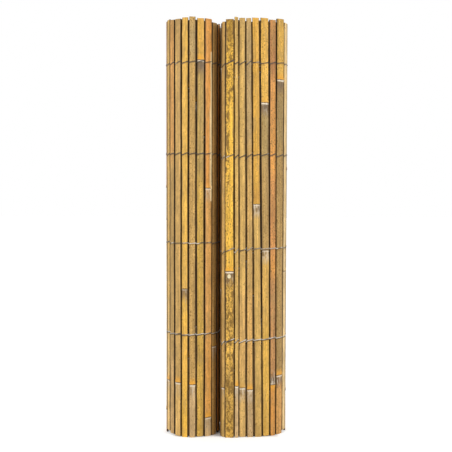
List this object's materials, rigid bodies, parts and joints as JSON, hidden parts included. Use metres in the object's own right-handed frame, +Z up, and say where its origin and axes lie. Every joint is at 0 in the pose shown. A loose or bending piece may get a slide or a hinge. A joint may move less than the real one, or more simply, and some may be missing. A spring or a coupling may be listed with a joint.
{
  "type": "split bamboo fence roll",
  "caption": "Low fence of split bamboo slats bound by rows of twisted wire, rolled up from both ends and stood on end as two adjoining scrolls.",
  "frame": {"origin": "middle of the footprint, on the floor that the slat ends stand on", "axes": "+Z up along the slats, -Y the front with the groove between the scrolls, +X to the wider scroll"},
  "size_m": [0.2989, 0.1398, 1.005],
  "materials": {
    "bamboo_straw": "smooth dry cane skin",
    "bamboo_honey": "smooth dry cane skin",
    "bamboo_tan": "smooth dry cane skin",
    "bamboo_khaki": "smooth dry cane skin",
    "bamboo_russet": "smooth dry cane skin",
    "galvanised_wire": "dull zinc"
  },
  "bodies": {
    "root": {"back_slat_1": "bamboo_tan", "back_slat_10": "bamboo_khaki", "back_slat_11": "bamboo_straw", "back_slat_12": "bamboo_tan", "back_slat_13": "bamboo_russet", "back_slat_14": "bamboo_honey", "back_slat_15": "bamboo_tan", "back_slat_16": "bamboo_honey", "back_slat_17": "bamboo_khaki", "back_slat_18": "bamboo_straw", "back_slat_19": "bamboo_tan", "back_slat_2": "bamboo_honey", "back_slat_20": "bamboo_russet", "back_slat_21": "bamboo_honey", "back_slat_3": "bamboo_khaki", "back_slat_4": "bamboo_straw", "back_slat_5": "bamboo_tan", "back_slat_6": "bamboo_russet", "back_slat_7": "bamboo_honey", "back_slat_8": "bamboo_tan", "back_slat_9": "bamboo_honey", "left_core_slats": "bamboo_tan", "left_front_slat_1": "bamboo_khaki", "left_front_slat_2": "bamboo_khaki", "left_front_slat_3": "bamboo_russet", "left_front_slat_4": "bamboo_honey", "left_front_slat_5": "bamboo_khaki", "left_front_slat_6": "bamboo_honey", "left_front_slat_7": "bamboo_khaki", "left_front_slat_8": "bamboo_tan", "left_front_slat_9": "bamboo_tan", "left_second_turn_slats": "bamboo_tan", "right_core_slats": "bamboo_tan", "right_front_slat_1": "bamboo_straw", "right_front_slat_10": "bamboo_khaki", "right_front_slat_2": "bamboo_tan", "right_front_slat_3": "bamboo_russet", "right_front_slat_4": "bamboo_honey", "right_front_slat_5": "bamboo_honey", "right_front_slat_6": "bamboo_khaki", "right_front_slat_7": "bamboo_tan", "right_front_slat_8": "bamboo_tan", "right_front_slat_9": "bamboo_straw", "right_second_turn_slats": "bamboo_tan", "wire_row_1_lower_strand": "galvanised_wire", "wire_row_1_upper_strand": "galvanised_wire", "wire_row_2_lower_strand": "galvanised_wire", "wire_row_2_upper_strand": "galvanised_wire", "wire_row_3_lower_strand": "galvanised_wire", "wire_row_3_upper_strand": "galvanised_wire", "wire_row_4_lower_strand": "galvanised_wire", "wire_row_4_upper_strand": "galvanised_wire"}
  },
  "joints": []
}
